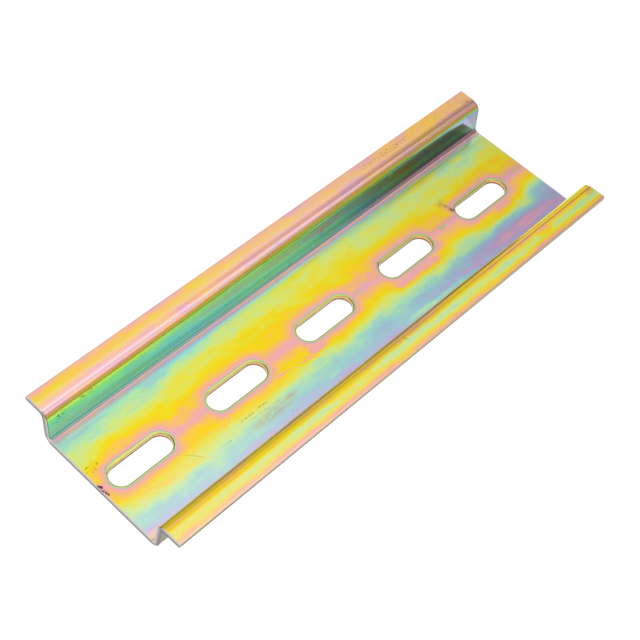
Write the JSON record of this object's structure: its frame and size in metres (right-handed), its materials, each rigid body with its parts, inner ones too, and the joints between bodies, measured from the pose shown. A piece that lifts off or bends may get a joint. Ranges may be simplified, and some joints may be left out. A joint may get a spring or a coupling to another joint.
{
  "type": "din rail",
  "caption": "Short slotted top-hat mounting rail pressed from yellow passivated steel strip, for clip-on electrical devices.",
  "frame": {"origin": "underside of the web, midway along the rail and midway between its lips", "axes": "+X along the rail, +Y across it, +Z out of the channel from the web to the lips"},
  "size_m": [0.105, 0.035, 0.0075],
  "materials": {
    "yellow_zinc": "zinc plated with iridescent yellow passivation, satin"
  },
  "bodies": {
    "root": {"rail": "yellow_zinc"}
  },
  "joints": []
}
